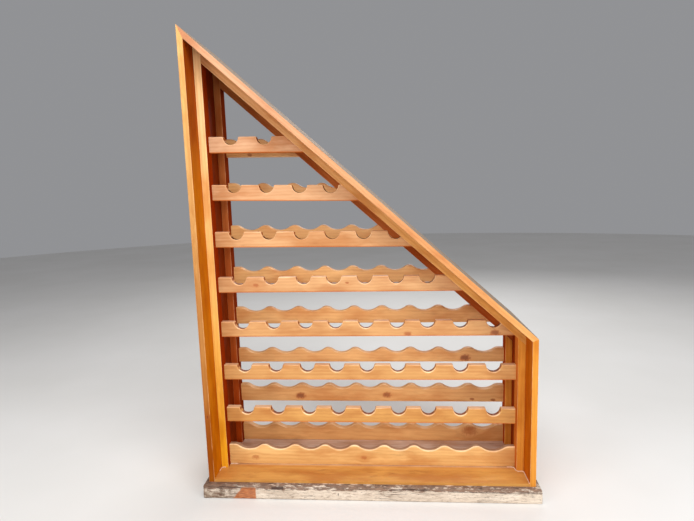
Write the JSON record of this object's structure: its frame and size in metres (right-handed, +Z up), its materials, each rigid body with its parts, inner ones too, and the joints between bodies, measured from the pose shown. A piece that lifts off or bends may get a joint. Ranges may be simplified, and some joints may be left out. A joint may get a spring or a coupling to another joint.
{
  "type": "wine rack",
  "caption": "Free-standing pine wine rack with a sloping top, scalloped bottle rails front and back between batten posts, on a thick painted plinth board.",
  "frame": {"origin": "middle of the plinth board's underside", "axes": "+Z up, -Y towards the open front, +X from the tall side to the short side"},
  "size_m": [1.03, 0.34, 1.41],
  "materials": {
    "case_pine": "satin varnish over orange-stained pine",
    "batten_pine": "satin varnish over orange-stained pine",
    "rail_pine": "satin varnish over orange-stained pine",
    "floor_pine": "worn satin varnish",
    "weathered_paint": "flaking off-white paint over bare grey wood",
    "filler": "matt hardened filler"
  },
  "bodies": {
    "root": {"plinth_board": "weathered_paint", "floor_panel": "floor_pine", "left_side": "case_pine", "sloping_top": "case_pine", "right_side": "case_pine", "front_left_upright": "batten_pine", "front_right_upright": "batten_pine", "front_slope_batten": "batten_pine", "rear_left_upright": "batten_pine", "rear_right_upright": "batten_pine", "rear_slope_batten": "batten_pine", "front_rail_1": "rail_pine", "front_rail_2": "rail_pine", "front_rail_3": "rail_pine", "front_rail_4": "rail_pine", "front_rail_5": "rail_pine", "front_rail_6": "rail_pine", "front_rail_7": "rail_pine", "front_rail_8": "rail_pine", "rear_rail_1": "rail_pine", "rear_rail_2": "rail_pine", "rear_rail_3": "rail_pine", "rear_rail_4": "rail_pine", "rear_rail_5": "rail_pine", "rear_rail_6": "rail_pine", "rear_rail_7": "rail_pine", "rear_rail_8": "rail_pine", "corner_beads": "filler"}
  },
  "joints": []
}
